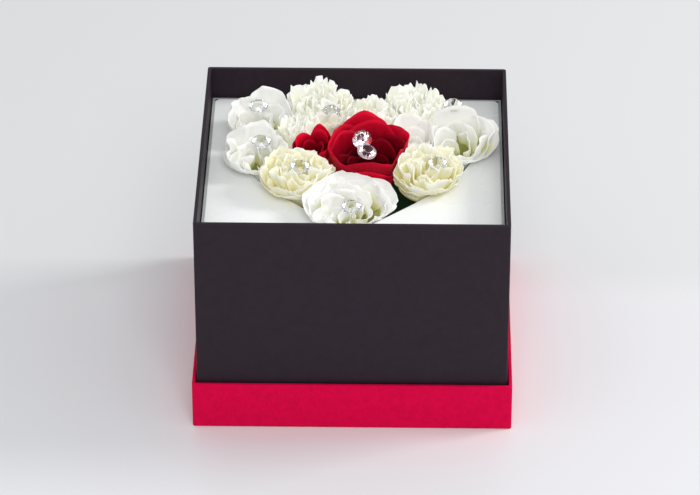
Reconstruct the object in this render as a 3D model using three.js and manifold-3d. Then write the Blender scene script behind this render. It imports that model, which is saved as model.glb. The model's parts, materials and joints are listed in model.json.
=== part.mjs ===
// Flower box: a rigid paper-covered gift box standing in its own upturned lid. A clear insert inside
// holds wet foam under a white panel with a heart cut out of it, and cut flowers with crystal picks
// stand in the foam and fill the heart.
//
// Millimetres, +Z up. The origin is the centre of the lid's underside and the front faces -Y.
import * as THREE from "three";
import { mergeVertices } from "three/addons/utils/BufferGeometryUtils.js";
import Module from "manifold-3d";

const wasm = await Module();
wasm.setup();

// ---------------------------------------------------------------- driving dimensions

// The box and its lid, outside, over the covering paper.
const BOX_WIDTH = 220;
const BOX_DEPTH = 220;
const BOX_HEIGHT = 165;
const LID_HEIGHT = 36;
const LID_PLAY = 0.9; // box wall to lid wall, on each side

// Board and paper.
const BOARD = 2; // greyboard
const PAPER = 0.25; // covering paper and lining paper
const GLUE = 0.05; // glue line between two layers
const BOARD_CORNER = 1.5; // rounding of the upright board corners
const BOX_TURN_IN = 30; // covering paper folded in over the rim
const LID_TURN_IN = 15;
const PAPER_BUTT = 0.3; // lining edge to turned-in edge
const STANDING_GAP = 0.1; // under a piece that stands loose on another

// The clear insert and the panel.
const INSERT_PLAY = 0.8; // insert to box lining, on each side
const ACRYLIC = 2;
const PANEL = 3;
const PANEL_CORNER = 4;
const PANEL_RECESS = 24.6; // box rim down to the panel's top
const HEART_SIDE_MARGIN = 17.55; // panel edge to the heart's widest place
const HEART_BACK_MARGIN = 20.55; // panel edge to the top of the two lobes
const HEART_FRONT_MARGIN = 23.55; // panel edge to the tip
const HEART_NOTCH = 20; // lobe top down to the notch

// Foam, two bricks side by side.
const FOAM_HEIGHT = 80;
const FOAM_PLAY = 0.6; // foam to insert wall, on each side and between the bricks
const STEM_IN_FOAM = 45;
const STEM_PLAY = 0.4; // stem to the wall of its hole

// Flower heads.
const HEAD_SINK = 12; // head's base below the panel's top
const HEAD_GAP = 1.2; // head to its neighbours
const HEART_GAP = 1; // head to the heart's edge
const OVERHANG_LIFT = 0.6; // overhanging petals above the panel
const WALL_GAP = 2; // overhanging petals to the box wall
const HEAD_SEAT = 0.3; // calyx to the head's base
const CALYX_HEIGHT = 9;

// Crystal picks.
const GEM_RADIUS = 7;
const GEM_CROWN = 3;
const GEM_PAVILION = 6;
const PIN_RADIUS = 0.8;
const PIN_LENGTH = 15;
const PICK_PLAY = 0.4; // gem and pin to the petals round them

// Each kind of flower: stem and calyx radius, and how deep its middle is dished.
const KINDS = {
  rose: { stem: 3, calyx: 8, dish: 13, head: 0xa80c20 },
  carnation: { stem: 2.2, calyx: 6.5, dish: 5, head: 0xf4efd6 },
  lisianthus: { stem: 2, calyx: 6, dish: 9, head: 0xf6f5ee },
};

// The bunch. x and y are shares of the heart's half width and half depth from its middle, spread is
// the open head's radius as a share of the half width, and crown is its height above the panel.
const FLOWERS = [
  { name: "rose_main", kind: "rose", x: 0.115, y: -0.02, spread: 0.33, crown: 33 },
  { name: "rose_side", kind: "rose", x: -0.3, y: 0.15, spread: 0.2, crown: 26 },
  { name: "carnation_back_left", kind: "carnation", x: -0.3, y: 0.76, spread: 0.29, crown: 30 },
  { name: "carnation_back_middle", kind: "carnation", x: 0.13, y: 0.62, spread: 0.24, crown: 29 },
  { name: "carnation_back_right", kind: "carnation", x: 0.5, y: 0.76, spread: 0.28, crown: 28 },
  { name: "carnation_inner_left", kind: "carnation", x: -0.45, y: 0.36, spread: 0.22, crown: 26 },
  { name: "carnation_front_left", kind: "carnation", x: -0.46, y: -0.28, spread: 0.29, crown: 27 },
  { name: "carnation_front_right", kind: "carnation", x: 0.59, y: -0.21, spread: 0.27, crown: 27 },
  { name: "lisianthus_back_left", kind: "lisianthus", x: -0.76, y: 0.62, spread: 0.28, crown: 25 },
  { name: "lisianthus_left", kind: "lisianthus", x: -0.81, y: 0.08, spread: 0.25, crown: 24 },
  { name: "lisianthus_front", kind: "lisianthus", x: 0, y: -0.74, spread: 0.38, crown: 24 },
  { name: "lisianthus_right", kind: "lisianthus", x: 0.88, y: 0.36, spread: 0.29, crown: 25 },
  { name: "lisianthus_inner_right", kind: "lisianthus", x: 0.49, y: 0.32, spread: 0.22, crown: 26 },
];

// The picks: which flower each stands in, how far its pin is from the flower's middle, and how far
// its gem's widest place is below the flower's crown.
const PICKS = [
  { name: "pick_rose_back", flower: "rose_main", x: -4.5, y: 2, sink: 6 },
  { name: "pick_rose_front", flower: "rose_main", x: -1, y: -13.5, sink: 7 },
  { name: "pick_carnation_back_left", flower: "carnation_back_left", x: 8.5, y: -14, sink: 10 },
  { name: "pick_carnation_front_left", flower: "carnation_front_left", x: 2, y: -8, sink: 4 },
  { name: "pick_carnation_front_right", flower: "carnation_front_right", x: 8, y: -8, sink: 4 },
  { name: "pick_lisianthus_back_left", flower: "lisianthus_back_left", x: -4.5, y: -1, sink: 0 },
  { name: "pick_lisianthus_left", flower: "lisianthus_left", x: 4, y: -5, sink: 0 },
  { name: "pick_lisianthus_front", flower: "lisianthus_front", x: -1, y: -14, sink: 7 },
  { name: "pick_lisianthus_right", flower: "lisianthus_right", x: -6, y: 19, sink: -3 },
];

// ---------------------------------------------------------------- sizes worked out from them

const LAYER = PAPER + GLUE; // one sheet of paper glued on
const WALL = LAYER + BOARD + LAYER;
const half = { x: BOX_WIDTH / 2, y: BOX_DEPTH / 2 };
const lidHalf = grown(half, LID_PLAY + WALL);
const lidFloor = WALL; // the lid's lining, which the box stands on
const boxBase = lidFloor + STANDING_GAP;
const rim = boxBase + BOX_HEIGHT;
const boxInside = grown(half, -WALL);
const boxFloor = boxBase + WALL;
const insertBase = boxFloor + STANDING_GAP;
const insertHalf = grown(boxInside, -INSERT_PLAY);
const insertInside = grown(insertHalf, -ACRYLIC);
const panelHalf = grown(insertInside, -GLUE);
const panelTop = rim - PANEL_RECESS;
const panelBase = panelTop - PANEL;
const foamBase = insertBase + ACRYLIC + STANDING_GAP;
const foamTop = foamBase + FOAM_HEIGHT;
const headBase = panelTop - HEAD_SINK;
const ROUND_SIDES = 10; // stems and pins
const HEAD_SIDES = 20;
const GEM_SIDES = 8;
const POCKET_SIDES = 12;

const heart = {
  halfWidth: panelHalf.x - HEART_SIDE_MARGIN,
  top: panelHalf.y - HEART_BACK_MARGIN,
  tip: HEART_FRONT_MARGIN - panelHalf.y,
};
heart.middle = (heart.top + heart.tip) / 2;
heart.halfDepth = (heart.top - heart.tip) / 2;

function grown(size, by) {
  return { x: size.x + by, y: size.y + by };
}

// ---------------------------------------------------------------- shapes and solids

// A rectangle about the origin, its corners rounded by r.
function rectangle(size, r, kind = THREE.Shape) {
  const s = new kind();
  const { x, y } = size;
  s.moveTo(-x + r, -y);
  s.lineTo(x - r, -y);
  if (r) s.absarc(x - r, -y + r, r, -Math.PI / 2, 0);
  s.lineTo(x, y - r);
  if (r) s.absarc(x - r, y - r, r, 0, Math.PI / 2);
  s.lineTo(-x + r, y);
  if (r) s.absarc(-x + r, y - r, r, Math.PI / 2, Math.PI);
  s.lineTo(-x, -y + r);
  if (r) s.absarc(-x + r, -y + r, r, Math.PI, Math.PI * 1.5);
  return s;
}

function extruded(shape, z0, z1, curveSegments = 4) {
  const options = { depth: z1 - z0, bevelEnabled: false, curveSegments };
  return new THREE.ExtrudeGeometry(shape, options).translate(0, 0, z0);
}

// A closed geometry as a manifold-3d solid, and back.
function solid(geometry) {
  const g = geometry.clone();
  for (const name of Object.keys(g.attributes)) if (name !== "position") g.deleteAttribute(name);
  const merged = mergeVertices(g, 1e-3);
  const vertProperties = merged.attributes.position.array;
  const triVerts = new Uint32Array(merged.index.array);
  return new wasm.Manifold(new wasm.Mesh({ numProp: 3, vertProperties, triVerts }));
}

function geometryOf(manifold) {
  const m = manifold.getMesh();
  const positions = new Float32Array(m.numVert * 3);
  for (let i = 0; i < m.numVert; i++)
    for (let k = 0; k < 3; k++) positions[i * 3 + k] = m.vertProperties[i * m.numProp + k];
  const g = new THREE.BufferGeometry();
  g.setAttribute("position", new THREE.BufferAttribute(positions, 3));
  g.setIndex(new THREE.BufferAttribute(m.triVerts, 1));
  g.computeVertexNormals();
  return g;
}

const prism = (size, r, z0, z1) => solid(extruded(rectangle(size, r), z0, z1));

// A turned solid: profile points are [radius, height], from the bottom of the axis to its top.
function turned(profile, sides) {
  const points = profile.map(([r, z]) => new THREE.Vector2(r, z));
  return new THREE.LatheGeometry(points, sides).rotateX(Math.PI / 2);
}

// A solid with one ring of points at each level and a point that closes each end.
function lofted(rings, bottom, top) {
  const sides = rings[0].length;
  const positions = [bottom, ...rings.flat(), top].flat();
  const faces = [];
  const at = (ring, i) => 1 + ring * sides + (i % sides);
  const last = rings.length - 1;
  for (let i = 0; i < sides; i++) {
    faces.push(0, at(0, i + 1), at(0, i));
    for (let ring = 0; ring < last; ring++) {
      faces.push(at(ring, i), at(ring, i + 1), at(ring + 1, i + 1));
      faces.push(at(ring, i), at(ring + 1, i + 1), at(ring + 1, i));
    }
    faces.push(at(last, i), at(last, i + 1), 1 + rings.length * sides);
  }
  const g = new THREE.BufferGeometry();
  g.setAttribute("position", new THREE.Float32BufferAttribute(positions, 3));
  g.setIndex(faces);
  g.computeVertexNormals();
  return g;
}

// ---------------------------------------------------------------- materials

const finish = (color, roughness, extra = {}) =>
  new THREE.MeshStandardMaterial({ color, roughness, metalness: 0, ...extra });
const MATERIALS = {
  blackPaper: finish(0x302b33, 0.75),
  redPaper: finish(0xcf0e45, 0.6),
  board: finish(0x8f8a80, 0.95),
  clear: finish(0xe6efee, 0.05, { transparent: true, opacity: 0.35 }),
  white: finish(0xf1f3f2, 0.15),
  foam: finish(0x3f7a3c, 1),
  leaf: finish(0x5f7f3a, 0.6),
  crystal: finish(0xf3f3f8, 0.02, { transparent: true, opacity: 0.5 }),
};

const flowerBox = new THREE.Group();

function add(name, geometry, material) {
  const mesh = new THREE.Mesh(geometry, material);
  mesh.name = name;
  flowerBox.add(mesh);
  return mesh;
}

// ---------------------------------------------------------------- boards and papers of a tray

// The five boards of a tray. Front and back run the full width, with rounded outer corners, and the
// side boards and the flat board fit between them. size is over the boards.
function addBoards(prefix, flatName, size, z0, z1) {
  const inside = grown(size, -BOARD);
  const fitted = grown(inside, -GLUE);
  const outline = solid(extruded(rectangle(size, BOARD_CORNER), z0, z1));
  const reach = size.y + 1;
  const cut = (y0, y1) => {
    const keep = new THREE.BoxGeometry(size.x * 2 + 2, y1 - y0, z1 - z0 + 2);
    keep.translate(0, (y0 + y1) / 2, (z0 + z1) / 2);
    return geometryOf(outline.intersect(solid(keep)));
  };
  add(prefix + "_front_board", cut(-reach, -inside.y), MATERIALS.board);
  add(prefix + "_back_board", cut(inside.y, reach), MATERIALS.board);
  for (const [side, sign] of [
    ["left", -1],
    ["right", 1],
  ]) {
    const board = new THREE.BoxGeometry(BOARD, fitted.y * 2, z1 - z0);
    board.translate(sign * (size.x - BOARD / 2), 0, (z0 + z1) / 2);
    add(`${prefix}_${side}_board`, board, MATERIALS.board);
  }
  const flat = new THREE.BoxGeometry(fitted.x * 2, fitted.y * 2, BOARD);
  flat.translate(0, 0, z0 + BOARD / 2);
  add(`${prefix}_${flatName}_board`, flat, MATERIALS.board);
}

// Covering paper round a tray's walls, over the rim and turned in. size is over the paper, z0 and z1
// are its lower and upper edge, and floor is the top of its sheet under the tray, if it has one.
function cover(size, z0, z1, turnIn, floor) {
  const outer = prism(size, BOARD_CORNER + LAYER, z0, z1);
  const boards = prism(grown(size, -PAPER), BOARD_CORNER + GLUE, floor, z1 - PAPER);
  const turned = prism(grown(size, -LAYER - BOARD - GLUE), 0, z1 - turnIn, z1);
  const mouth = prism(grown(size, -WALL), 0, z1 - turnIn - 1, z1 + 1);
  return geometryOf(outer.subtract(boards.subtract(turned)).subtract(mouth));
}

// Lining paper: the floor and the walls up to the turned-in edge. size is the tray's inside.
function lining(size, floor, z1) {
  const outer = prism(grown(size, PAPER), 0, floor - PAPER, z1);
  return geometryOf(outer.subtract(prism(size, 0, floor, z1 + 1)));
}

// The lid, upside down: its top sheet is what the whole thing stands on.
const lidInside = grown(lidHalf, -WALL);
add("lid_top_sheet", extruded(rectangle(lidHalf, BOARD_CORNER + LAYER), 0, PAPER), MATERIALS.redPaper);
addBoards("lid", "top", grown(lidHalf, -LAYER), LAYER, LID_HEIGHT - LAYER);
add("lid_side_wrap", cover(lidHalf, LAYER, LID_HEIGHT, LID_TURN_IN, LAYER - 1), MATERIALS.redPaper);
add("lid_lining", lining(lidInside, lidFloor, LID_HEIGHT - LID_TURN_IN - PAPER_BUTT), MATERIALS.redPaper);

// The box.
addBoards("box", "bottom", grown(half, -LAYER), boxBase + LAYER, rim - LAYER);
add("box_wrap", cover(half, boxBase, rim, BOX_TURN_IN, boxBase + PAPER), MATERIALS.blackPaper);
add("box_lining", lining(boxInside, boxFloor, rim - BOX_TURN_IN - PAPER_BUTT), MATERIALS.blackPaper);

// ---------------------------------------------------------------- clear insert and heart panel

// Five sheets bonded into an open case, and the panel bonded in its mouth, flush with its edges. The
// floor sheet fits between the walls, and the front and back sheets run the full width.
const sheetHeight = panelTop - insertBase;
const sheetMiddle = insertBase + sheetHeight / 2;
for (const [side, sign] of [
  ["front", -1],
  ["back", 1],
]) {
  const sheet = new THREE.BoxGeometry(insertHalf.x * 2, ACRYLIC, sheetHeight);
  sheet.translate(0, sign * (insertHalf.y - ACRYLIC / 2), sheetMiddle);
  add(`insert_${side}_sheet`, sheet, MATERIALS.clear);
}
for (const [side, sign] of [
  ["left", -1],
  ["right", 1],
]) {
  const sheet = new THREE.BoxGeometry(ACRYLIC, (insertInside.y - GLUE) * 2, sheetHeight);
  sheet.translate(sign * (insertHalf.x - ACRYLIC / 2), 0, sheetMiddle);
  add(`insert_${side}_sheet`, sheet, MATERIALS.clear);
}
const floorSheet = new THREE.BoxGeometry((insertInside.x - GLUE) * 2, (insertInside.y - GLUE) * 2, ACRYLIC);
floorSheet.translate(0, 0, insertBase + ACRYLIC / 2);
add("insert_floor_sheet", floorSheet, MATERIALS.clear);

// The heart, tip to the front. The curve's handles are shares of its half width and half depth.
function heartOutline(kind) {
  const path = new kind();
  const w = heart.halfWidth;
  const d = heart.halfDepth;
  const at = (x, y) => [x * w, heart.middle + y * d];
  const notch = heart.top - HEART_NOTCH;
  path.moveTo(0, heart.tip);
  path.bezierCurveTo(...at(0.575, -0.46), ...at(1, -0.05), ...at(1, 0.44));
  path.bezierCurveTo(...at(1, 0.78), ...at(0.8, 1), ...at(0.52, 1));
  path.bezierCurveTo(...at(0.26, 1), ...at(0.07, 0.9), 0, notch);
  path.bezierCurveTo(...at(-0.07, 0.9), ...at(-0.26, 1), ...at(-0.52, 1));
  path.bezierCurveTo(...at(-0.8, 1), ...at(-1, 0.78), ...at(-1, 0.45));
  path.bezierCurveTo(...at(-1, -0.05), ...at(-0.575, -0.46), 0, heart.tip);
  return path;
}

const HEART_STEPS = 14;
const panelShape = rectangle(panelHalf, PANEL_CORNER);
panelShape.holes.push(heartOutline(THREE.Path));
add("heart_panel", extruded(panelShape, panelBase, panelTop, HEART_STEPS), MATERIALS.white);

// ---------------------------------------------------------------- flowers

const heartPoints = heartOutline(THREE.Path).getPoints(HEART_STEPS);

// How far it is from a point inside the heart to its edge, in one direction.
function toHeartEdge(from, angle) {
  const dx = Math.cos(angle);
  const dy = Math.sin(angle);
  let nearest = Infinity;
  for (let i = 0; i < heartPoints.length; i++) {
    const a = heartPoints[i];
    const b = heartPoints[(i + 1) % heartPoints.length];
    const ex = b.x - a.x;
    const ey = b.y - a.y;
    const cross = dx * ey - dy * ex;
    if (Math.abs(cross) < 1e-9) continue;
    const along = ((a.x - from.x) * ey - (a.y - from.y) * ex) / cross;
    const share = ((a.x - from.x) * dy - (a.y - from.y) * dx) / cross;
    if (along > 0 && share >= 0 && share <= 1) nearest = Math.min(nearest, along);
  }
  return nearest;
}

const flowers = FLOWERS.map((f) => ({
  ...f,
  ...KINDS[f.kind],
  centre: { x: f.x * heart.halfWidth, y: heart.middle + f.y * heart.halfDepth },
  radius: f.spread * heart.halfWidth,
}));

// How far a head reaches in one direction: its own radius, cut off where its neighbours begin and
// short of the box walls.
function headReach(flower, angle) {
  const dx = Math.cos(angle);
  const dy = Math.sin(angle);
  let reach = flower.radius;
  for (const other of flowers) {
    if (other === flower) continue;
    const ax = other.centre.x - flower.centre.x;
    const ay = other.centre.y - flower.centre.y;
    const apart = Math.hypot(ax, ay);
    const towards = (dx * ax + dy * ay) / apart;
    const border = (apart ** 2 + flower.radius ** 2 - other.radius ** 2) / (2 * apart);
    if (towards > 1e-6) reach = Math.min(reach, (border - HEAD_GAP / 2) / towards);
  }
  for (const [axis, d] of [
    ["x", dx],
    ["y", dy],
  ]) {
    const wall = boxInside[axis] - WALL_GAP;
    if (Math.abs(d) > 1e-6) reach = Math.min(reach, (wall - Math.sign(d) * flower.centre[axis]) / Math.abs(d));
  }
  return reach;
}

// Everything under the overhanging petals that is outside the heart, or within the gap inside it.
const heartInset = new wasm.CrossSection([heartPoints.map((p) => [p.x, p.y])]).offset(-HEART_GAP, "Round");
const through = heartInset.extrude(HEAD_SINK + OVERHANG_LIFT + 4).translate(0, 0, headBase - 2);
const aroundHeart = prism(insertHalf, 0, headBase - 1, panelTop + OVERHANG_LIFT).subtract(through);

// The soft mass of a flower's petals: narrow at the calyx, inside the heart up to the panel's top,
// spreading over it, and dished in the middle.
function headSolid(flower) {
  const crown = panelTop + flower.crown;
  const over = panelTop + OVERHANG_LIFT;
  const wide = [];
  const narrow = [];
  for (let i = 0; i < HEAD_SIDES; i++) {
    const angle = (i / HEAD_SIDES) * Math.PI * 2;
    const reach = headReach(flower, angle);
    wide.push(reach);
    narrow.push(Math.min(reach, toHeartEdge(flower.centre, angle) - HEART_GAP));
  }
  const ring = (radii, share, z, least = 0) =>
    radii.map((r, i) => {
      const angle = (i / HEAD_SIDES) * Math.PI * 2;
      const reach = Math.max(Math.min(least, r), r * share);
      return [flower.centre.x + Math.cos(angle) * reach, flower.centre.y + Math.sin(angle) * reach, z];
    });
  const rise = crown - over;
  const rings = [
    ring(narrow, 0.1, headBase, flower.calyx),
    ring(narrow, 0.75, panelBase - 1),
    ring(narrow, 0.88, over),
    ring(wide, 0.86, over + rise * 0.2),
    ring(wide, 0.97, over + rise * 0.45),
    ring(wide, 1, over + rise * 0.65),
    ring(wide, 0.92, over + rise * 0.88),
    ring(wide, 0.74, crown),
    ring(wide, 0.3, crown - flower.dish * 0.75),
  ];
  const { x, y } = flower.centre;
  const head = solid(lofted(rings, [x, y, headBase], [x, y, crown - flower.dish]));
  return head.subtract(aroundHeart);
}

// A pick's gem and pin about the upright axis, the gem's widest place at height 0, grown by play.
function pickProfile(play, top) {
  const pin = PIN_RADIUS + play;
  const gem = GEM_RADIUS + play;
  return [
    [0, -GEM_PAVILION - PIN_LENGTH - play],
    [pin, -GEM_PAVILION - PIN_LENGTH + (play ? -play : 1)],
    [pin, -GEM_PAVILION - play],
    [gem, -play],
    ...top.map(([share, z]) => [gem * share, z]),
  ];
}

const picks = PICKS.map((pick) => {
  const flower = flowers.find((f) => f.name === pick.flower);
  const x = flower.centre.x + pick.x;
  const y = flower.centre.y + pick.y;
  return { ...pick, flower, x, y, z: panelTop + flower.crown - pick.sink };
});

const stemHoles = [];
for (const flower of flowers) {
  const { x, y } = flower.centre;
  let head = headSolid(flower);
  for (const pick of picks.filter((p) => p.flower === flower)) {
    // The pocket that the pick has made in the petals, open to the top.
    const above = [[1, flower.crown], [0, flower.crown]];
    const pocket = turned(pickProfile(PICK_PLAY, above), POCKET_SIDES);
    head = head.subtract(solid(pocket.translate(pick.x, pick.y, pick.z)));
  }
  add(flower.name + "_head", geometryOf(head), finish(flower.head, 0.55));

  // Stem and calyx are one: a plain round stem that widens into the cup that holds the petals.
  const stemBase = foamTop - STEM_IN_FOAM;
  const calyxTop = headBase - HEAD_SEAT;
  const profile = [
    [0, stemBase],
    [flower.stem, stemBase],
    [flower.stem, calyxTop - CALYX_HEIGHT],
    [flower.calyx * 0.75, calyxTop - CALYX_HEIGHT * 0.6],
    [flower.calyx, calyxTop],
    [0, calyxTop],
  ];
  add(flower.name + "_stem", turned(profile, ROUND_SIDES).translate(x, y, 0), MATERIALS.leaf);
  const holeRadius = flower.stem + STEM_PLAY;
  const holeDepth = STEM_IN_FOAM + STEM_PLAY;
  const hole = new THREE.CylinderGeometry(holeRadius, holeRadius, holeDepth + 1, ROUND_SIDES);
  hole.rotateX(Math.PI / 2).translate(x, y, foamTop + (1 - holeDepth) / 2);
  stemHoles.push(solid(hole));
}

// The foam bricks, with the holes that the stems have made.
const brickWidth = insertInside.x - FOAM_PLAY * 1.5;
for (const [side, sign] of [
  ["left", -1],
  ["right", 1],
]) {
  const brick = new THREE.BoxGeometry(brickWidth, (insertInside.y - FOAM_PLAY) * 2, FOAM_HEIGHT);
  brick.translate(sign * (FOAM_PLAY / 2 + brickWidth / 2), 0, foamBase + FOAM_HEIGHT / 2);
  const pierced = stemHoles.reduce((foam, hole) => foam.subtract(hole), solid(brick));
  add(`foam_brick_${side}`, geometryOf(pierced), MATERIALS.foam);
}

// ---------------------------------------------------------------- crystal picks

// A brilliant-cut gem and its pin, moulded in one piece.
for (const pick of picks) {
  const crown = [[1, 0.4], [0.6, GEM_CROWN], [0, GEM_CROWN]];
  const gem = turned(pickProfile(0, crown), GEM_SIDES);
  add(pick.name, gem.translate(pick.x, pick.y, pick.z), MATERIALS.crystal);
}

export default flowerBox;
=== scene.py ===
import json
import math
import random

import bmesh
import bpy
import numpy as np
from mathutils import Matrix, Vector
from mathutils.bvhtree import BVHTree

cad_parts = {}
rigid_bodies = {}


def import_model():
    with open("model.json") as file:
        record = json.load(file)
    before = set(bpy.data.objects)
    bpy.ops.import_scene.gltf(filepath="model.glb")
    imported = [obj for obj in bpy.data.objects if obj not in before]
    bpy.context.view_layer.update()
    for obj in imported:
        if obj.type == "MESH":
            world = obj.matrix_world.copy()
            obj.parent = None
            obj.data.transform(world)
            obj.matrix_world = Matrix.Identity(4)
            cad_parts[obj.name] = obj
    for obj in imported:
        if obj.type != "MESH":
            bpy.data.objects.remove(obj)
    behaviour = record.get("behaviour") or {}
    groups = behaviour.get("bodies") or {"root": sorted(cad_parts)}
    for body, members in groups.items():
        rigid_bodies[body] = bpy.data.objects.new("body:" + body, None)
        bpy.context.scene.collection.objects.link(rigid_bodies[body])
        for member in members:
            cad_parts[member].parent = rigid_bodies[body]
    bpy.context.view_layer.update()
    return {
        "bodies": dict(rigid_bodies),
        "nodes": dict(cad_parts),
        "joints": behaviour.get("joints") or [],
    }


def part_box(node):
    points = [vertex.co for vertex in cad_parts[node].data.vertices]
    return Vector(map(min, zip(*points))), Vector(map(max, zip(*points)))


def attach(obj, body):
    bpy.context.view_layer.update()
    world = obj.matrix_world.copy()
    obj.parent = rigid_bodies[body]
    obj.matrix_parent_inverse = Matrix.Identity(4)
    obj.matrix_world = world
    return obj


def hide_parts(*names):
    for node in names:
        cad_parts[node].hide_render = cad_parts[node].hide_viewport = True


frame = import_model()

# ---------------------------------------------------------------- tabletop, light and camera
# A pale matt tabletop whose back is painted a shade darker, painted shade that stands in for a dimmer wall
# behind the box, under a soft lamp on the right, a larger one in front and an even pale surround. A long
# lens looks down on the box from the front.

scene = bpy.context.scene
scene.view_settings.view_transform = "Standard"


class Sock:
    """A socket of a material's node tree. Arithmetic on it adds Math nodes."""

    # A Mix node's colour sockets go by number, because its kinds share their names.
    MIX_A, MIX_B, MIX_RESULT = 6, 7, 2

    def __init__(self, tree, socket=None):
        self.tree = tree
        self.socket = socket

    def node(self, kind, settings=None, inputs=None, out=0):
        """Adds a shader node: its settings first, then its sockets' values or links."""
        new = self.tree.nodes.new("ShaderNode" + kind)
        for key, value in (settings or {}).items():
            if key == "stops":
                stops = new.color_ramp.elements
                while len(stops) < len(value):
                    stops.new(0.5)
                for stop, (place, color) in zip(stops, value):
                    stop.position = place
                    stop.color = (*color, 1)
            else:
                setattr(new, key, value)
        for key, value in (inputs or {}).items():
            if isinstance(value, Sock):
                self.tree.links.new(value.socket, new.inputs[key])
            else:
                new.inputs[key].default_value = value
        return Sock(self.tree, new.outputs[out])

    def math(self, operation, *values):
        return self.node("Math", {"operation": operation}, dict(enumerate(values)))

    def __add__(self, other):
        return self.math("ADD", self, other)

    def __radd__(self, other):
        return self.math("ADD", other, self)

    def __sub__(self, other):
        return self.math("SUBTRACT", self, other)

    def __rsub__(self, other):
        return self.math("SUBTRACT", other, self)

    def __mul__(self, other):
        return self.math("MULTIPLY", self, other)

    def __rmul__(self, other):
        return self.math("MULTIPLY", other, self)

    def __gt__(self, other):
        return self.math("GREATER_THAN", self, other)

    def place(self):
        """Where each point of the surface is, in metres."""
        return self.node("TexCoord", out="Object")

    def along(self, axis):
        """One of this vector's three parts."""
        return self.node("SeparateXYZ", None, {"Vector": self}, out=axis)

    def ramp(self, low, high):
        """0 below low, 1 above high, smooth between."""
        settings = {"interpolation_type": "SMOOTHSTEP"}
        return self.node("MapRange", settings, {"Value": self, "From Min": low, "From Max": high})

    def blend(self, a, b):
        """Colour a where this is 0, colour b where it is 1."""
        inputs = {"Factor": self, self.MIX_A: a, self.MIX_B: b}
        return self.node("Mix", {"data_type": "RGBA"}, inputs, out=self.MIX_RESULT)

    def noise(self, scale, detail, where=None, stretch=None):
        """Noise from 0 to 1, of that many waves to the metre."""
        where = where or self.place()
        if stretch:
            where = self.node("Mapping", None, {"Vector": where, "Scale": stretch})
        return self.node("TexNoise", None, {"Vector": where, "Scale": scale, "Detail": detail})

    def bump(self, strength, distance):
        """This as a height, in metres times distance."""
        return self.node("Bump", None, {"Strength": strength, "Distance": distance, "Height": self})


def rgb(red, green, blue):
    return (red, green, blue, 1.0)


def material(name, **fixed):
    """A new material, the maker of its nodes, and a function that fills its shader's sockets."""
    made = bpy.data.materials.new(name)
    made.use_nodes = True
    shader = made.node_tree.nodes["Principled BSDF"]
    for key, value in fixed.items():
        shader.inputs[key.replace("_", " ")].default_value = value

    def fill(**links):
        for key, value in links.items():
            made.node_tree.links.new(value.socket, shader.inputs[key.replace("_", " ")])
        return made

    return Sock(made.node_tree), fill


CAMERA_PLACE = (0.0389, -2.3828, 1.5797)
CAMERA_PITCH = math.radians(32.18)
CAMERA_YAW = math.radians(-1.014)
CAMERA_ROLL = math.radians(-0.056)
LENS = 199.4
SENSOR_WIDTH = 36.0
camera = bpy.data.objects.new("camera", bpy.data.cameras.new("camera"))
camera.data.lens = LENS
camera.data.sensor_width = SENSOR_WIDTH
camera.data.clip_end = 50.0
camera.matrix_world = (
    Matrix.Translation(CAMERA_PLACE)
    @ Matrix.Rotation(-CAMERA_YAW, 4, "Z")
    @ Matrix.Rotation(math.pi / 2 - CAMERA_PITCH, 4, "X")
    @ Matrix.Rotation(CAMERA_ROLL, 4, "Z")
)
scene.collection.objects.link(camera)
scene.camera = camera

TABLE_REACH = 8.0
TABLE_DROP = 0.0002
TABLE_SHADE_FROM = 0.05
TABLE_SHADE_WIDTH = 0.06
table_mesh = bpy.data.meshes.new("tabletop")
table_mesh.from_pydata(
    [(x * TABLE_REACH, y * TABLE_REACH, -TABLE_DROP) for x, y in ((-1, -1), (1, -1), (1, 1), (-1, 1))],
    [], [(0, 1, 2, 3)],
)
tabletop = bpy.data.objects.new("tabletop", table_mesh)
scene.collection.objects.link(tabletop)
make, fill = material("tabletop", Roughness=0.42)
# Painted shade: the tabletop darkens from 5 cm to 11 cm behind the middle, standing in for the dimmer wall
# behind the box.
shade = make.place().along("Y").ramp(TABLE_SHADE_FROM, TABLE_SHADE_FROM + TABLE_SHADE_WIDTH)
table_mesh.materials.append(fill(Base_Color=shade.blend(rgb(0.74, 0.735, 0.755), rgb(0.68, 0.685, 0.69))))

LAMPS_AIM = Vector((0, 0, 0.1))


def lamp(name, place, size, watts):
    """A soft square lamp that points at the box."""
    light = bpy.data.lights.new(name, "AREA")
    light.size = size
    light.energy = watts
    holder = bpy.data.objects.new(name, light)
    holder.location = place
    holder.rotation_euler = (LAMPS_AIM - Vector(place)).to_track_quat("-Z", "Y").to_euler()
    scene.collection.objects.link(holder)


lamp("key_lamp", place=(2.3, 0.5, 1.8), size=0.8, watts=38)
lamp("front_lamp", place=(0.3, -2.6, 2.5), size=1.6, watts=50)
world = bpy.data.worlds.new("surround")
world.use_nodes = True
surround = world.node_tree.nodes["Background"]
surround.inputs["Color"].default_value = rgb(0.96, 0.98, 1.0)
surround.inputs["Strength"].default_value = 0.69
scene.world = world

# ---------------------------------------------------------------- lid, standing upside down
# A shallow tray of 2 mm greyboard. Red uncoated paper is glued over it in one sheet: up the walls,
# over the rim and turned in, with a red lining inside. The box stands in it.

MM = 0.001
PAPER = 0.25 * MM
WALL = 2.6 * MM
RIM_ROUND = 0.6 * MM
CORNER_ROUND = 1.8 * MM
LEAST_ROUND = 0.15 * MM
CORNER_STEPS = 6
FOLD_STEPS = 4


def dress(node, made):
    """Gives a CAD node a finish."""
    slots = frame["nodes"][node].data.materials
    slots.clear()
    slots.append(made)


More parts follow.
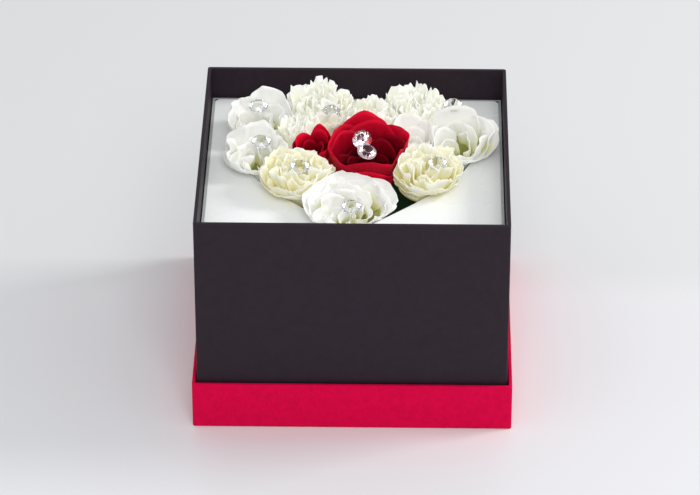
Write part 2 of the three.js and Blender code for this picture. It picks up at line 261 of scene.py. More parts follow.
def piece(name, points, faces, made, body, smooth=40):
    """A mesh piece that rides on a body. Edges sharper than smooth, in degrees, stay crisp."""
    mesh = bpy.data.meshes.new(name)
    mesh.from_pydata([tuple(p) for p in points], [], faces)
    mesh.materials.append(made)
    mesh.shade_smooth()
    mesh.set_sharp_from_angle(angle=math.radians(smooth))
    made_piece = bpy.data.objects.new(name, mesh)
    scene.collection.objects.link(made_piece)
    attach(made_piece, body)
    return made_piece


def arc(cx, cy, r, start, end, steps=FOLD_STEPS):
    """Points on an arc, the angles in degrees."""
    turns = [math.radians(start + (end - start) * i / steps) for i in range(steps + 1)]
    return [(cx + r * math.cos(t), cy + r * math.sin(t)) for t in turns]


def covering(name, low, high, turn_in, made, body, slot):
    """One sheet of paper round a tray: under it, up its walls, over the rim and down inside.
    The profile's points are (distance in from the outside, height)."""
    half_x, half_y = high[0], high[1]
    z0, z1 = low[2], high[2]
    fold = RIM_ROUND
    outside = arc(fold, z0 + fold, fold, 270, 180)
    outside += arc(fold, z1 - fold, fold, 180, 90)
    outside += arc(WALL - fold, z1 - fold, fold, 90, 0)
    outside += [(WALL, z1 - turn_in)]
    thin = fold - PAPER
    inside = [(WALL - PAPER, z1 - turn_in)]
    inside += arc(WALL - fold, z1 - fold, thin, 0, 90)
    inside += arc(fold, z1 - fold, thin, 90, 180)
    inside += arc(fold, z0 + fold, thin, 180, 270)
    profile = outside + inside
    points = []
    for inset, z in profile:
        r = max(CORNER_ROUND - inset, LEAST_ROUND)
        for k, (sx, sy) in enumerate([(1, -1), (1, 1), (-1, 1), (-1, -1)]):
            cx = sx * (half_x - inset - r)
            cy = sy * (half_y - inset - r)
            points += [(x, y, z) for x, y in arc(cx, cy, r, 90 * k - 90, 90 * k, CORNER_STEPS)]
    around = 4 * (CORNER_STEPS + 1)
    faces = [tuple(range(around))[::-1]]
    for ring in range(len(profile) - 1):
        for i in range(around):
            j = (i + 1) % around
            a, b = ring * around, (ring + 1) * around
            faces.append((a + i, a + j, b + j, b + i))
    last = (len(profile) - 1) * around
    faces.append(tuple(range(last, last + around)))
    return piece(name, points, faces, made, body)


def paper(name, deep, pale, roughness, gloss):
    """Uncoated covering paper: cloudy colour, short fibres and a fine grain."""
    make, fill = material(name, Roughness=roughness, Specular_IOR_Level=gloss)
    cloud = make.noise(160.0, 4.0)
    fibre = make.noise(900.0, 3.0, stretch=(1.0, 1.0, 0.35))
    fine = make.noise(2600.0, 2.0)
    color = (cloud * 0.45 + fibre * 0.55).ramp(0.3, 0.7).blend(rgb(*deep), rgb(*pale))
    grain = fibre * 0.6 + fine * 0.4
    return fill(
        Base_Color=color,
        Normal=grain.bump(0.35, 0.00012),
        Roughness=fibre * 0.12 + (roughness - 0.06),
    )


red_paper = paper("red_paper", (0.56, 0.0, 0.044), (0.68, 0.0005, 0.058), 0.7, 0.06)
make, fill = material("greyboard", Roughness=0.9)
speck = make.noise(700.0, 5.0)
board_color = speck.ramp(0.35, 0.65).blend(rgb(0.22, 0.2, 0.17), rgb(0.36, 0.34, 0.3))
greyboard = fill(Base_Color=board_color, Normal=speck.bump(0.4, 0.0002))

LID_TURN_IN = 15 * MM
side_low, side_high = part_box("lid_side_wrap")
foot_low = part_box("lid_top_sheet")[0]
lid_low = (side_low[0], side_low[1], foot_low[2])
lid_cover = covering("lid_cover", lid_low, side_high, LID_TURN_IN, red_paper, "lid", "red_paper")
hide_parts("lid_side_wrap", "lid_top_sheet")
dress("lid_lining", red_paper)
for side in ("top", "front", "back", "left", "right"):
    dress(f"lid_{side}_board", greyboard)

# ---------------------------------------------------------------- box
# A deep tray of the same greyboard, covered outside and over the rim with matt black paper and
# lined with it inside. It lifts straight out of the lid.

BOX_TURN_IN = 30 * MM
black_paper = paper("black_paper", (0.009, 0.0022, 0.0085), (0.0145, 0.0058, 0.0135), 0.62, 0.33)
box_cover = covering("box_cover", *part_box("box_wrap"), BOX_TURN_IN, black_paper, "box", "black_paper")
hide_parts("box_wrap")
dress("box_lining", black_paper)
for side in ("bottom", "front", "back", "left", "right"):
    dress(f"box_{side}_board", greyboard)

# ---------------------------------------------------------------- insert and heart panel
# Five sheets of 2 mm clear acrylic are bonded into an open case, and a 3 mm opal white sheet with a
# heart cut out of it is bonded in its mouth. The case's top edges are left frosted by the saw.


def break_edges(node, width, segments=2):
    """Takes the sharp edges off a CAD node."""
    bevel = frame["nodes"][node].modifiers.new("broken_edges", "BEVEL")
    bevel.width = width
    bevel.segments = segments
    bevel.limit_method = "ANGLE"
    bevel.angle_limit = math.radians(50)


SAWN_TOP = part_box("insert_left_sheet")[1][2] - 0.1 * MM
SAWN_SHARE = 0.75
make, fill = material("clear_acrylic", Roughness=0.03, IOR=1.49, Transmission_Weight=1.0)
smear = make.noise(35.0, 3.0)
clear_acrylic = fill(
    Base_Color=smear.blend(rgb(0.93, 0.97, 0.96), rgb(0.97, 0.99, 0.98)),
    Roughness=smear * 0.06 + 0.01,
)
saw_marks = make.noise(500.0, 2.0, stretch=(1.0, 1.0, 0.2))
frosted = make.node("BsdfPrincipled", None, {
    "Base Color": saw_marks.blend(rgb(0.45, 0.48, 0.47), rgb(0.62, 0.65, 0.64)), "Roughness": 0.6,
})
polished = Sock(make.tree, make.tree.nodes["Principled BSDF"].outputs[0])
sawn = (make.place().along("Z") > SAWN_TOP) * SAWN_SHARE
sheet = make.node("MixShader", None, {0: sawn, 1: polished, 2: frosted})
make.tree.links.new(sheet.socket, make.tree.nodes["Material Output"].inputs["Surface"])
for side in ("floor", "front", "back", "left", "right"):
    dress(f"insert_{side}_sheet", clear_acrylic)

make, fill = material("white_acrylic", Roughness=0.3, IOR=1.49, Specular_IOR_Level=0.35)
haze = make.noise(22.0, 4.0)
white_acrylic = fill(
    Base_Color=haze.ramp(0.3, 0.7).blend(rgb(0.87, 0.885, 0.88), rgb(0.89, 0.90, 0.89)),
    Roughness=haze * 0.12 + 0.22,
    Normal=make.noise(9.0, 1.0).bump(0.05, 0.001),
)
dress("heart_panel", white_acrylic)
break_edges("heart_panel", 0.3 * MM)

# ---------------------------------------------------------------- wet foam
# Two bricks of floral foam, soaked with water, side by side in the insert. Its open cells are finer
# than a grain of sand, its cut corners crumble a little, and each stem has pushed its own hole.

make, fill = material("wet_foam", Roughness=0.95)
cells = make.noise(3200.0, 3.0)
pores = make.node("TexVoronoi", None, {"Vector": make.place(), "Scale": 900.0})
damp = make.noise(30.0, 3.0)
foam_color = (cells * 0.6 + damp * 0.4).ramp(0.3, 0.7).blend(rgb(0.02, 0.085, 0.03), rgb(0.06, 0.2, 0.06))
wet_foam = fill(
    Base_Color=foam_color,
    Roughness=1.0 - damp * 0.35,
    Normal=(cells * 0.5 + pores * 0.5).bump(0.7, 0.0005),
)
for side in ("left", "right"):
    dress(f"foam_brick_{side}", wet_foam)
    break_edges(f"foam_brick_{side}", 1.2 * MM, 3)

# ---------------------------------------------------------------- roses
# Two red garden roses. Broad velvety petals wrap each other in a spiral: the inner ones are upright and
# tight, and the outer ones lean out and roll their rims back. All are thin and soft. Their colour is
# painted near black towards the root and on the inner petals, as painted shade deep in the cup, and bright
# red at the rim as a painted highlight.


def solid_of(nodes):
    """The outside of some CAD nodes as one tree that rays can be cast against."""
    points, faces = [], []
    for node in nodes:
        part = frame["nodes"][node]
        faces += [tuple(v + len(points) for v in p.vertices) for p in part.data.polygons]
        points += [part.matrix_world @ v.co for v in part.data.vertices]
    return BVHTree.FromPolygons(points, faces)


def leaning(tilt, towards):
    """A turn that leans an upright thing by tilt towards a bearing, both in degrees."""
    way = Vector((math.cos(math.radians(towards)), math.sin(math.radians(towards)), 0))
    return Matrix.Rotation(math.radians(tilt), 3, Vector((0, 0, 1)).cross(way))


class Room:
    """How far a flower's petals can go before they press against a neighbour or the edge of the
    heart, read from the outside of the CAD heads at levels up them and turns round them."""

    TURNS = 96
    LEVELS = 14
    FROM_BASE = 0.6 * MM  # the lowest level
    FROM_CROWN = 1.2 * MM  # the highest level
    FAR = 90 * MM  # past the outside of any head
    STALK = 2 * MM  # where a level misses the head
    OVER_DECK = 4.5 * MM  # from here up petals may spread over the panel
    PROUD = 4 * MM  # how far they may stand past the head there
    SNUG = 0.4 * MM  # and how far below it
    BETWEEN = 0.7 * MM  # left between neighbours
    HALVINGS = 8
    SOFT = 3.5 * MM  # depth over which petals are pressed back

    def __init__(self, flower):
        self.own = solid_of([flower + "_head"])
        heads = [node for node in frame["nodes"] if node.endswith("_head") and node != flower + "_head"]
        self.neighbours = solid_of(heads + ["heart_panel"])
        low, high = (Vector(c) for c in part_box(flower + "_head"))
        stem_low, stem_high = (Vector(c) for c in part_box(flower + "_stem"))
        self.x, self.y = ((stem_low + stem_high) / 2)[:2]
        self.base = low.z
        self.height = high.z - low.z
        self.heights = np.linspace(low.z + self.FROM_BASE, high.z - self.FROM_CROWN, self.LEVELS)
        turns = [2 * math.pi * turn / self.TURNS for turn in range(self.TURNS)]
        ways = [Vector((math.cos(turn), math.sin(turn), 0)) for turn in turns]
        middles = [Vector((self.x, self.y, z)) for z in self.heights]
        skin = np.array([[self.skin(middle, way) for way in ways] for middle in middles])
        over_deck = self.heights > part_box("heart_panel")[1][2] + self.OVER_DECK
        free = np.where(over_deck, self.PROUD, self.SNUG)[:, None]
        self.table = np.maximum.accumulate(skin + free, axis=0)
        for level, middle in enumerate(middles):
            for turn, way in enumerate(ways):
                limit = self.table[level, turn]
                self.table[level, turn] = self.share(middle, way, skin[level, turn], limit)
        self.radius = float(np.percentile(self.table[-1], 80)) - 2 * MM

    def skin(self, middle, way):
        """How far out the CAD head's outside is."""
        hit = self.own.ray_cast(middle + way * self.FAR, -way, self.FAR)[3]
        return self.FAR - hit if hit else self.STALK

    def share(self, middle, way, skin, limit):
        """The furthest place within the limit that is still nearer to this flower than to the next."""

        def ours(r):
            place = middle + way * r
            gap = self.own.find_nearest(place)[3] * (-1 if r < skin else 1)
            return self.neighbours.find_nearest(place)[3] - gap > self.BETWEEN

        if ours(limit):
            return limit
        near, far = 0.0, limit
        for _ in range(self.HALVINGS):
            half = (near + far) / 2
            near, far = (half, far) if ours(half) else (near, half)
        return near

    def reach(self, angle, z):
        """The table's distance at any bearing and height."""
        turn = (angle / (2 * math.pi)) % 1 * self.TURNS
        level = (z - self.heights[0]) / (self.heights[1] - self.heights[0])
        level = np.clip(level, 0, self.LEVELS - 1.001)
        i, j = turn.astype(int) % self.TURNS, level.astype(int)
        a, b = turn - np.floor(turn), level - j
        k = (i + 1) % self.TURNS
        lower = self.table[j, i] * (1 - a) + self.table[j, k] * a
        upper = self.table[j + 1, i] * (1 - a) + self.table[j + 1, k] * a
        return lower * (1 - b) + upper * b

    def keep_in(self, points):
        """Presses points that would reach past the limit back inside it, softly."""
        dx, dy = points[..., 0] - self.x, points[..., 1] - self.y
        r, angle = np.hypot(dx, dy), np.arctan2(dy, dx)
        limit = self.reach(angle, points[..., 2])
        soft = np.minimum(self.SOFT, limit * 0.3)
        over = r - (limit - soft)
        pressed = limit - soft * np.exp(-np.maximum(over, 0) / soft)
        scale = np.where(over > 0, pressed / np.maximum(r, 1e-9), 1.0)
        points[..., 0] = self.x + dx * scale
        points[..., 1] = self.y + dy * scale
        return points


def whorl(count, rim, top, width, **more):
    """A ring of like petals. rim and top are where their tips reach, as shares of the flower's radius and
    height, and width is a petal's half angle in degrees. Of the rest, belly and rise shape the petal's way
    out and up, roll and droop its rim, point and teeth its outline, tuck and ruffle and crumple its
    surface, lean and spread its height, and age scales its place on the colour ramp: below 1 it paints the
    petal darker as painted shade, above 1 whiter."""
    ring = {
        "count": count, "rim": rim, "top": top, "width": width, "root": 0.06, "belly": 2.0, "rise": 1.4,
        "roll": 0.0, "droop": 0.0, "point": 0.12, "point_power": 2.4, "ruffle": 0.0, "waves": 3.0,
        "teeth": 0.0, "tuck": 0.05, "start": None, "lean": 0.0, "spread": 0.12, "crumple": 0.02,
        "age": 1.0,
    }
    ring.update(more)
    return ring


CLAW = 0.42  # a petal's width at its root, as a share of its widest
TEETH_FROM = 0.78  # the share of its length where its teeth begin
ROLL_FROM = 0.68  # and where its rim begins to roll
CRUMPLES = (0.016, 0.009, 0.0055)  # wavelengths of its folds


def petal(ring, room, azimuth, rows, cols, dice):
    """One petal as a grid of points about the flower's axis, and where each lies across it and along the
    colour ramp: its share of the way from the root, times the ring's age, which below 1 paints it darker as
    painted shade.
    """
    u, v = np.meshgrid(np.linspace(0, 1, rows), np.linspace(-1, 1, cols), indexing="ij")
    s = u * (1 - ring["point"] * np.abs(v) ** ring["point_power"])
    if ring["teeth"]:
        jag = np.abs(((v * 4.5 + dice.random() * 2) % 1) - 0.5) * 2
        deep = 0.5 + 0.5 * np.sin(v * 9 + dice.uniform(0, 6))
        s = s - ring["teeth"] * jag * deep * np.clip((u - TEETH_FROM) / (1 - TEETH_FROM), 0, 1)
    narrow = CLAW + (1 - CLAW) * np.minimum(s * 1.6, 1) ** 0.8
    half = math.radians(ring["width"] * dice.uniform(0.92, 1.08))
    angle = azimuth + v * half * narrow

    rim = ring["rim"] * room.radius * dice.uniform(0.96, 1.04)
    lift = 1 + ring["lean"] * math.sin(azimuth) + ring["spread"] * dice.uniform(-0.4, 0.4)
    top = ring["top"] * room.height * lift
    root = ring["root"] * room.radius
    r = root + (rim - root) * (1 - (1 - np.minimum(s, 1)) ** ring["belly"])
    z = top * s ** ring["rise"]

    edge = np.clip((s - ROLL_FROM) / (1 - ROLL_FROM), 0, 1) ** 2
    r = r + ring["roll"] * room.radius * edge
    z = z - ring["droop"] * room.height * edge * (0.6 + 0.4 * np.abs(v))
    r = r + ring["tuck"] * room.radius * v * np.minimum(s * 2, 1)
    phase = dice.uniform(0, 6.28)
    wave = np.sin(v * math.pi * ring["waves"] + phase)
    wave = wave + 0.5 * np.sin(v * math.pi * ring["waves"] * 1.9 + phase * 2)
    swell = ring["ruffle"] * room.radius * np.maximum(s, 0) ** 2.2 * wave
    r = r + swell
    z = z - swell * 0.35
    grid = np.stack([r * np.cos(angle), r * np.sin(angle), z], axis=-1)

    for wavelength in CRUMPLES:
        way = np.array([dice.gauss(0, 1) for _ in range(3)])
        way *= 2 * math.pi / wavelength / np.linalg.norm(way)
        push = np.array([dice.gauss(0, 1) for _ in range(3)])
        push *= ring["crumple"] * room.radius * wavelength / CRUMPLES[0] / np.linalg.norm(push)
        fold = np.sin(grid @ way + dice.uniform(0, 6.28)) * np.maximum(s, 0)
        grid = grid + fold[..., None] * push
    # The second part is the place on the colour ramp; an age below 1 pulls it rootwards, painted shade that
    # darkens the petal.
    return grid, np.stack([v * 0.5 + 0.5, s * ring["age"]], axis=-1)


GIRDLE_PLAY = 0.8 * MM
PAVILION_PLAY = 0.6 * MM
GIRDLE_DEPTH = 1 * MM


def clear_of_gem(points, gem):
    """Petals lie under a gem's pavilion and stand round its girdle."""
    x, y, z, radius, pavilion = gem
    dx, dy = points[..., 0] - x, points[..., 1] - y
    d = np.hypot(dx, dy)
    near = radius + GIRDLE_PLAY
    under = z - pavilion * (1 - np.minimum(d / radius, 1)) - PAVILION_PLAY
    low = points[..., 2] < z + GIRDLE_DEPTH
    press = (d < near) & low
    points[..., 2] = np.where(press, np.minimum(points[..., 2], under), points[..., 2])
    push = (d < near) & ~low
    scale = np.where(push, near / np.maximum(d, 1e-6), 1.0)
    points[..., 0] = x + dx * scale
    points[..., 1] = y + dy * scale
    return points


CROWN_HEIGHT = 3 * MM
PAVILION_HEIGHT = 6 * MM
GEMS = {}
for joint in frame["joints"]:
    if joint["child"].startswith("pick_"):
        node = joint["child"].removesuffix("_body")
        low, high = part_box(node)
        girdle = ((low[0] + high[0]) / 2, (low[1] + high[1]) / 2, high[2] - CROWN_HEIGHT)
        gem = (*girdle, (high[0] - low[0]) / 2, PAVILION_HEIGHT)
        GEMS.setdefault(joint["parent"], []).append((node, gem))


def bloom(flower, whorls, made, rows=14, cols=15, tilt=0.0, towards=-90.0, thick=0.35 * MM, seed=1):
    """All the petals of a flower as one piece that stands for its CAD head."""
    room = Room(flower)
    dice = random.Random(seed)
    turn = np.array(leaning(tilt, towards))
    points, faces, uvs, tints = [], [], [], []
    start = dice.uniform(0, 360)
    for ring in whorls:
        start += 360 / ring["count"] * 0.5 + 17
        first = start if ring["start"] is None else ring["start"]
        for i in range(ring["count"]):
            azimuth = math.radians(first + 360 * i / ring["count"] + dice.uniform(-6, 6))
            grid, uv = petal(ring, room, azimuth, rows, cols, dice)
            grid = grid @ turn.T + np.array([room.x, room.y, room.base])
            grid = room.keep_in(grid)
            for _, gem in GEMS.get(flower, []):
                grid = clear_of_gem(grid, gem)
            base = len(points)
            points += grid.reshape(-1, 3).tolist()
            uvs += uv.reshape(-1, 2).tolist()
            tints += [dice.random()] * (rows * cols)
            for a in range(rows - 1):
                for b in range(cols - 1):
                    p = base + a * cols + b
                    faces.append((p, p + 1, p + cols + 1, p + cols))
    made_piece = piece(flower + "_petals", points, faces, made, flower, smooth=80)
    mesh = made_piece.data
    layer = mesh.uv_layers.new(name="petal")
    order = np.empty(len(mesh.loops), dtype=int)
    mesh.loops.foreach_get("vertex_index", order)
    layer.data.foreach_set("uv", np.array(uvs)[order].ravel())
    tint = mesh.attributes.new("tint", "FLOAT", "POINT")
    tint.data.foreach_set("value", tints)
    solid = made_piece.modifiers.new("thickness", "SOLIDIFY")
    solid.thickness = thick
    solid.offset = 0
    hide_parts(flower + "_head")


def petal_skin(name, stops, dark, veins, **fixed):
    """Petal colour from root to rim, darker towards the root partly by the petal's own colour and partly as
    painted shade, a tint of its own on each petal, and fine veins along it. The faint emission is painted
    light: the petals glow a little in their own colour, which brightens their shaded folds and stands for
    the daylight that a thin wet petal passes on from behind."""
    make, fill = material(name, **fixed)
    where = make.node("UVMap", {"uv_map": "petal"})
    vein = make.noise(1.0, 3.0, where=where, stretch=(42.0, 2.2, 1.0))
    cloud = make.noise(140.0, 3.0)
    color = make.node("ValToRGB", {"stops": stops}, {0: where.along("Y") + (cloud - 0.5) * 0.18})
    tint = make.node("Attribute", {"attribute_name": "tint"}, out="Fac")
    shade = (tint * 0.45 + (1 - vein) * 0.3 + cloud * 0.25).ramp(0.3, 0.95) * veins
    color = shade.blend(color, rgb(*dark))
    grain = (vein * 0.8 + cloud * 0.2).bump(0.3, 0.0004)
    # The petal glows in its own colour: painted light.
    return fill(Base_Color=color, Emission_Color=color, Normal=grain)


# Painted shade and highlight: the ramp runs from near black at the root, shade deep in the cup, up to
# bright red at the rim, lighter there as a painted highlight.
rose_skin = petal_skin(
    "rose_petal",
    [
        (0.0, (0.012, 0.0, 0.001)), (0.5, (0.075, 0.0, 0.004)),
        (0.78, (0.34, 0.0, 0.012)), (0.96, (0.72, 0.003, 0.03)),
    ],
    (0.06, 0.0, 0.003),
    veins=0.8, Emission_Strength=0.01, Roughness=0.6, Specular_IOR_Level=0.08,
    Subsurface_Weight=0.1, Subsurface_Radius=(0.002, 0.0002, 0.0002), Subsurface_Scale=1.0,
)
wide = {"rise": 1.7, "belly": 3.0, "point": 0.26, "point_power": 1.6, "crumple": 0.016, "spread": 0.05}
pointed = {**wide, "point": 0.36, "point_power": 1.25}
# Ages below 1 on the inner whorls paint them darker: painted shade deep in the cup.
bloom(
    "rose_main",
    [
        whorl(5, 1.14, 0.58, 50, belly=1.9, roll=0.16, droop=0.16, point=0.24, point_power=1.7, start=-58),
        whorl(3, 1.14, 0.74, 60, roll=0.18, droop=0.06, start=-95, **wide),
        whorl(3, 1.08, 0.94, 72, lean=0.10, roll=0.10, droop=0.05, start=97, **pointed),
        whorl(3, 1.02, 0.93, 72, roll=0.14, droop=0.05, start=32, **wide),
        whorl(3, 0.92, 0.86, 70, lean=0.04, roll=0.12, droop=0.03, start=86, age=0.96, **wide),
        whorl(3, 0.84, 0.78, 72, lean=0.04, roll=0.08, start=20, age=0.88, **wide),
        whorl(3, 0.68, 0.60, 74, lean=0.10, roll=0.05, start=66, age=0.74, **wide),
        whorl(3, 0.50, 0.46, 76, lean=0.10, start=30, age=0.66, **wide),
        whorl(3, 0.30, 0.36, 80, start=0, age=0.6, **wide),
    ],
    rose_skin, rows=20, cols=33, tilt=1, seed=11,
)
tight = {"belly": 3.0, "rise": 1.6}
bloom(
    "rose_side",
    [
        whorl(4, 1.15, 0.62, 56, roll=0.14, droop=0.10, point=0.25, point_power=1.5),
        whorl(4, 1.05, 0.86, 56, belly=2.8, rise=1.6, roll=0.08, point=0.28, point_power=1.4, lean=0.12,
              start=160),
        whorl(4, 0.78, 0.92, 62, roll=0.04, point=0.2, lean=0.1, **tight),
        whorl(3, 0.46, 0.82, 70, point=0.15, **tight),
    ],
    rose_skin, rows=16, cols=21, tilt=14, towards=-120, seed=5,
)

# ---------------------------------------------------------------- carnations
# Six cream carnations. Each is a dense ruff of small fan-shaped petals with toothed rims, crumpled against
# each other. The two in front are younger: yellower in the folds and less jagged. Each petal darkens
# towards its root, partly its own yellow-green and partly painted shade deep in the flower, and glows
# faintly as painted light.

cream_skins = {}
# Each ramp's darker root is partly the petal's own olive yellow and partly painted shade deep in the
# flower; the emission is painted light.
for age, root, fold, rim in (
    ("open", (0.42, 0.39, 0.10), (0.78, 0.75, 0.48), (0.83, 0.83, 0.75)),
    ("young", (0.34, 0.30, 0.03), (0.76, 0.68, 0.22), (0.83, 0.81, 0.62)),
):
    cream_skins[age] = petal_skin(
        f"{age}_carnation_petal",
        [(0.0, root), (0.55, fold), (0.85, rim), (1.0, (0.84, 0.84, 0.79))],
        tuple(c * 0.9 for c in fold),
        veins=0.35, Emission_Strength=0.12, Roughness=0.65, Specular_IOR_Level=0.2,
        Subsurface_Weight=0.3, Subsurface_Radius=(0.003, 0.0028, 0.002), Subsurface_Scale=1.0,
    )
FRILLS = {
    "open": {"teeth": 0.13, "point": 0.12, "waves": 1.9, "tuck": 0.10, "spread": 0.34, "crumple": 0.06},
    "young": {"teeth": 0.06, "point": 0.16, "waves": 1.5, "tuck": 0.10, "spread": 0.2, "crumple": 0.03},
}
for flower, age, seed, tilt, towards in (
    ("carnation_back_left", "open", 3, 6, -90),
    ("carnation_back_middle", "open", 4, 12, -90),
    ("carnation_back_right", "open", 8, 6, -90),
    ("carnation_inner_left", "open", 6, 0, -90),
    ("carnation_front_left", "young", 7, 12, -110),
    ("carnation_front_right", "young", 9, 10, -80),
):
    frill = FRILLS[age]
    bloom(
        flower,
        [
            whorl(7, 1.30, 0.46, 46, belly=1.3, rise=0.9, roll=0.08, droop=0.08, ruffle=0.08, **frill),
            whorl(7, 1.14, 0.60, 44, belly=1.4, rise=1.0, roll=0.08, droop=0.08, ruffle=0.10, **frill),
            whorl(7, 0.98, 0.78, 44, belly=1.5, rise=1.1, roll=0.06, droop=0.03, ruffle=0.11, **frill),
            whorl(6, 0.80, 0.90, 46, belly=1.6, rise=1.2, roll=0.05, ruffle=0.11, **frill),
            whorl(6, 0.58, 0.94, 48, belly=1.8, rise=1.2, ruffle=0.11, **frill),
            whorl(5, 0.38, 0.94, 52, belly=1.8, rise=1.2, ruffle=0.10, **frill),
            whorl(3, 0.18, 0.90, 60, belly=1.8, rise=1.2, ruffle=0.07, **frill),
        ],
        cream_skins[age],
        rows=13, cols=27, tilt=tilt, towards=towards, thick=0.3 * MM, seed=seed,
    )

# ---------------------------------------------------------------- lisianthus
# Five white lisianthus. Their petals are few, broad and silky, with a softly waved rim, and turn olive
# green deep in the throat, painted darker there still as shade. The front one is the widest open and its
# petals lie flattest.

# The ramp's dark olive root is partly the throat's own green and partly painted shade deep in the flower;
# the emission is painted light.
white_skin = petal_skin(
    "lisianthus_petal",
    [
        (0.0, (0.08, 0.08, 0.002)), (0.34, (0.24, 0.24, 0.01)),
        (0.52, (0.66, 0.66, 0.34)), (0.68, (0.82, 0.82, 0.79)),
    ],
    (0.74, 0.74, 0.66),
    veins=0.25, Emission_Strength=0.12, Roughness=0.55, Specular_IOR_Level=0.25,
    Subsurface_Weight=0.3, Subsurface_Radius=(0.003, 0.003, 0.0026), Subsurface_Scale=1.0,
)
silky = {"point": 0.16, "point_power": 2.6, "crumple": 0.04}
cupped = {**silky, "rise": 1.8, "roll": 0.06, "belly": 2.8}
# Ages above 1 turn the middle whorls whiter; ages below 1 paint the inner whorls darker as painted shade.
bloom(
    "lisianthus_front",
    [
        whorl(6, 1.34, 0.50, 54, belly=1.4, rise=0.9, roll=0.06, droop=0.04, ruffle=0.09, waves=2.1,
              start=-60, **silky),
        whorl(6, 1.14, 0.58, 52, belly=1.6, rise=1.0, roll=0.08, droop=0.05, ruffle=0.09, waves=2.0,
              start=-30, **silky),
        whorl(5, 0.94, 0.54, 56, belly=2.2, roll=0.08, ruffle=0.08, waves=1.9, start=80, age=1.35, **silky),
        whorl(5, 0.74, 0.58, 56, belly=2.6, rise=1.6, roll=0.08, ruffle=0.08, waves=1.7, tuck=0.2,
              start=30, age=1.2, **silky),
        whorl(4, 0.50, 0.56, 52, ruffle=0.05, tuck=0.3, start=10, age=0.92, **cupped),
        whorl(2, 0.22, 0.46, 60, belly=2.6, rise=1.6, roll=0.05, tuck=0.2, age=0.8, **silky),
    ],
    white_skin, rows=18, cols=25, tilt=16, towards=-66, seed=22,
)
# The innermost whorl's age of 0.8 paints it darker as painted shade.
for flower, seed, tilt, towards, wave, crumple in (
    ("lisianthus_back_left", 31, 12, -100, 0.11, 0.07),
    ("lisianthus_left", 32, 12, -80, 0.11, 0.07),
    ("lisianthus_right", 33, 20, -110, 0.06, 0.03),
    ("lisianthus_inner_right", 41, 4, -60, 0.06, 0.03),
):
    silk = {**silky, "crumple": crumple, "ruffle": wave}
    bloom(
        flower,
        [
            whorl(6, 1.22, 0.44, 48, belly=1.4, rise=0.9, roll=0.08, droop=0.05, waves=1.8, **silk),
            whorl(5, 1.12, 0.66, 54, belly=1.7, rise=1.0, roll=0.08, droop=0.05, lean=0.1, **silk),
            whorl(4, 0.92, 0.88, 60, belly=2.2, roll=0.06, lean=0.16, waves=1.7, **silk),
            whorl(4, 0.66, 0.78, 60, belly=2.6, rise=1.6, roll=0.02, waves=1.6, tuck=0.16, **silk),
            whorl(3, 0.40, 0.64, 56, belly=2.8, rise=1.8, waves=1.6, tuck=0.2, age=0.8, **silk),
        ],
        white_skin,
        rows=16, cols=27, tilt=tilt, towards=towards, thick=0.3 * MM, seed=seed,
    )

# ---------------------------------------------------------------- stems
# Each flower's green stem ends in a cup, the calyx, that holds the petals, with pointed sepals
# round it. The stems are cut on a slant and pushed straight down into the foam.

STEM_SIDES = 24
STEM_SLANT = 0.5
SEPALS = 5
SEPAL_ROWS = 8
SEPAL_HALF_WIDTH = 2.8 * MM
SEPAL_REACH = 2.2 * MM
make, fill = material("stem_green", Roughness=0.45, Subsurface_Weight=0.1, Subsurface_Scale=0.001)
streak = make.noise(260.0, 3.0, stretch=(1.0, 1.0, 0.12))
stem_color = streak.ramp(0.3, 0.7).blend(rgb(0.055, 0.13, 0.02), rgb(0.16, 0.27, 0.07))
stem_green = fill(Base_Color=stem_color, Normal=streak.bump(0.3, 0.0004))


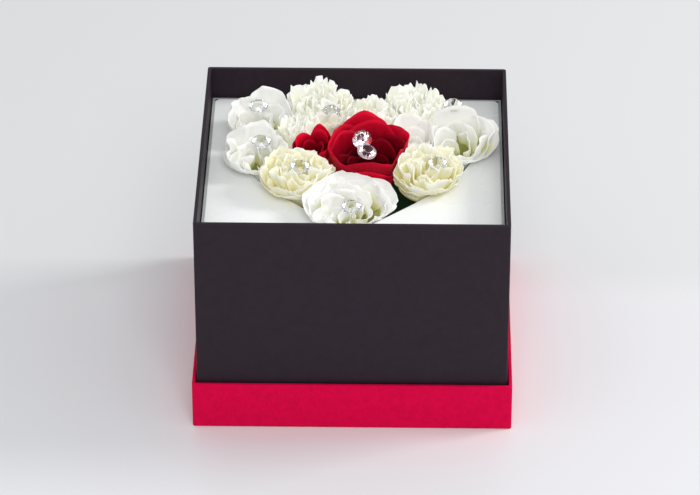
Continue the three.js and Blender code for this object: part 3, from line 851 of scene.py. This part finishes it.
def stalk(flower, slim):
    """Stem, calyx and sepals as one piece that stands for the CAD stem. The stem's profile is
    (radius, height up from its foot or down from its top), with a node under the calyx."""
    low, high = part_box(flower + "_stem")
    x, y = (low[0] + high[0]) / 2, (low[1] + high[1]) / 2
    foot, top = low[2], high[2]
    cup = (high[0] - low[0]) / 2
    profile = [(slim * 0.9, foot + 0.2 * MM), (slim, foot + 1.5 * MM)]
    profile += [(r, top - down * MM) for r, down in (
        (slim, 38), (slim * 1.12, 36), (slim, 34), (slim, 11), (slim * 1.3, 9),
        (cup * 0.72, 6), (cup * 0.95, 2.5), (cup * 0.97, 0.8), (cup * 0.8, 0.1),
    )]
    points = []
    for r, z in profile:
        for i in range(STEM_SIDES):
            a = 2 * math.pi * i / STEM_SIDES
            slant = r * math.cos(a) * STEM_SLANT if z < foot + 1 * MM else 0
            points.append((x + r * math.cos(a), y + r * math.sin(a), z + max(slant, 0)))
    faces = [tuple(range(STEM_SIDES))[::-1]]
    for ring in range(len(profile) - 1):
        for i in range(STEM_SIDES):
            j = (i + 1) % STEM_SIDES
            a, b = ring * STEM_SIDES, (ring + 1) * STEM_SIDES
            faces.append((a + i, a + j, b + j, b + i))
    faces.append(tuple(range(len(points) - STEM_SIDES, len(points))))
    for k in range(SEPALS):
        turn = 2 * math.pi * k / SEPALS
        cos, sin = math.cos(turn), math.sin(turn)
        first = len(points)
        for row in range(SEPAL_ROWS + 1):
            t = row / SEPAL_ROWS
            a, b, c = (1 - t) ** 2, 2 * t * (1 - t), t * t
            r = cup * (0.62 * a + 1.15 * b + 1.1 * c) + SEPAL_REACH * c
            z = top - (6.5 * a + 1.5 * b + 2.2 * c) * MM
            half = SEPAL_HALF_WIDTH * max((1 - t) ** 0.8 * min(1.0, 0.55 + t * 2), 0.05)
            for out, across, up in ((0, half, 0), (0.25, 0, -0.25), (0, -half, 0), (-0.15, 0, 0.15)):
                out, up = r + out * MM, z + up * MM
                points.append((x + out * cos - across * sin, y + out * sin + across * cos, up))
        faces.append(tuple(range(first, first + 4)))
        for row in range(SEPAL_ROWS):
            a = first + row * 4
            faces += [(a + i, a + 4 + i, a + 4 + (i + 1) % 4, a + (i + 1) % 4) for i in range(4)]
        faces.append(tuple(range(len(points) - 4, len(points)))[::-1])
    made_piece = piece(flower + "_stalk", points, faces, stem_green, flower, smooth=60)
    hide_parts(flower + "_stem")


SLIM = {"rose": 3.0 * MM, "carnation": 2.2 * MM, "lisianthus": 2.0 * MM}
for body in frame["bodies"]:
    kind = body.split("_")[0]
    if kind in SLIM:
        stalk(body, SLIM[kind])

# ---------------------------------------------------------------- crystal picks
# Clear acrylic gems, cut like brilliants, each moulded on a thin pin that is pushed down between the
# petals. The two in the large rose are tinted faintly pink: a painted reflection of the red petals round
# them.

crystals = {}
# The rose gems' pink is a painted reflection of the red petals round them; the cream gems' tint is near
# clear.
for kind, glass_tint_and_painted_reflection in (("rose", rgb(1.0, 0.62, 0.74)), ("cream", rgb(0.97, 0.98, 1.0))):
    make, fill = material(f"{kind}_crystal", Roughness=0.0, IOR=1.5, Transmission_Weight=1.0)
    wisp = make.noise(400.0, 2.0)
    crystals[kind] = fill(Base_Color=wisp.blend(glass_tint_and_painted_reflection, rgb(1.0, 1.0, 1.0)), Roughness=wisp * 0.02)


def gem_points(radius, crown, pavilion):
    """The corners of a brilliant about its girdle: table, crown, girdle and pavilion."""
    rings = [
        (8, 0.55, crown, 0.0), (8, 0.80, crown * 0.62, 0.5), (16, 1.0, 0.35 * MM, 0.0),
        (16, 1.0, 0.0, 0.0), (8, 0.56, -pavilion * 0.52, 0.5), (8, 0.12, -pavilion, 0.0),
    ]
    corners = []
    for count, share, z, shift in rings:
        for i in range(count):
            a = 2 * math.pi * (i + shift) / count
            corners.append(Vector((radius * share * math.cos(a), radius * share * math.sin(a), z)))
    return corners


PIN_RADIUS = 0.5 * MM
PIN_TIP = 0.1 * MM
PIN_TAPER = Vector((0, 0, 1.4 * MM))
PIN_SIDES = 10
USUAL_TILT = (12, -90)
TILTS = {
    "pick_rose_back": (46, -100), "pick_rose_front": (22, -60), "pick_carnation_back_left": (42, -80),
}
for picks in GEMS.values():
    for node, (x, y, z, radius, pavilion) in picks:
        low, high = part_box(node)
        lean = leaning(*TILTS.get(node, USUAL_TILT))
        shape = bmesh.new()
        for corner in gem_points(radius, high[2] - z, pavilion):
            shape.verts.new(lean @ corner + Vector((x, y, z)))
        bmesh.ops.convex_hull(shape, input=shape.verts)
        foot = Vector((x, y, low[2] + 0.2 * MM))
        head = Vector((x, y, z - pavilion * 0.75))
        rings = []
        for place, r in ((foot, PIN_TIP), (foot + PIN_TAPER, PIN_RADIUS), (head, PIN_RADIUS)):
            ring = []
            for i in range(PIN_SIDES):
                a = 2 * math.pi * i / PIN_SIDES
                ring.append(shape.verts.new(place + Vector((r * math.cos(a), r * math.sin(a), 0))))
            rings.append(ring)
        for a, b in zip(rings, rings[1:]):
            for i in range(PIN_SIDES):
                j = (i + 1) % PIN_SIDES
                shape.faces.new((a[i], a[j], b[j], b[i]))
        shape.faces.new(rings[0][::-1])
        shape.faces.new(rings[-1])
        mesh = bpy.data.meshes.new(node + "_gem")
        shape.to_mesh(mesh)
        shape.free()
        mesh.materials.append(crystals["rose" if "rose" in node else "cream"])
        made_piece = bpy.data.objects.new(node + "_gem", mesh)
        scene.collection.objects.link(made_piece)
        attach(made_piece, node + "_body")
        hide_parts(node)
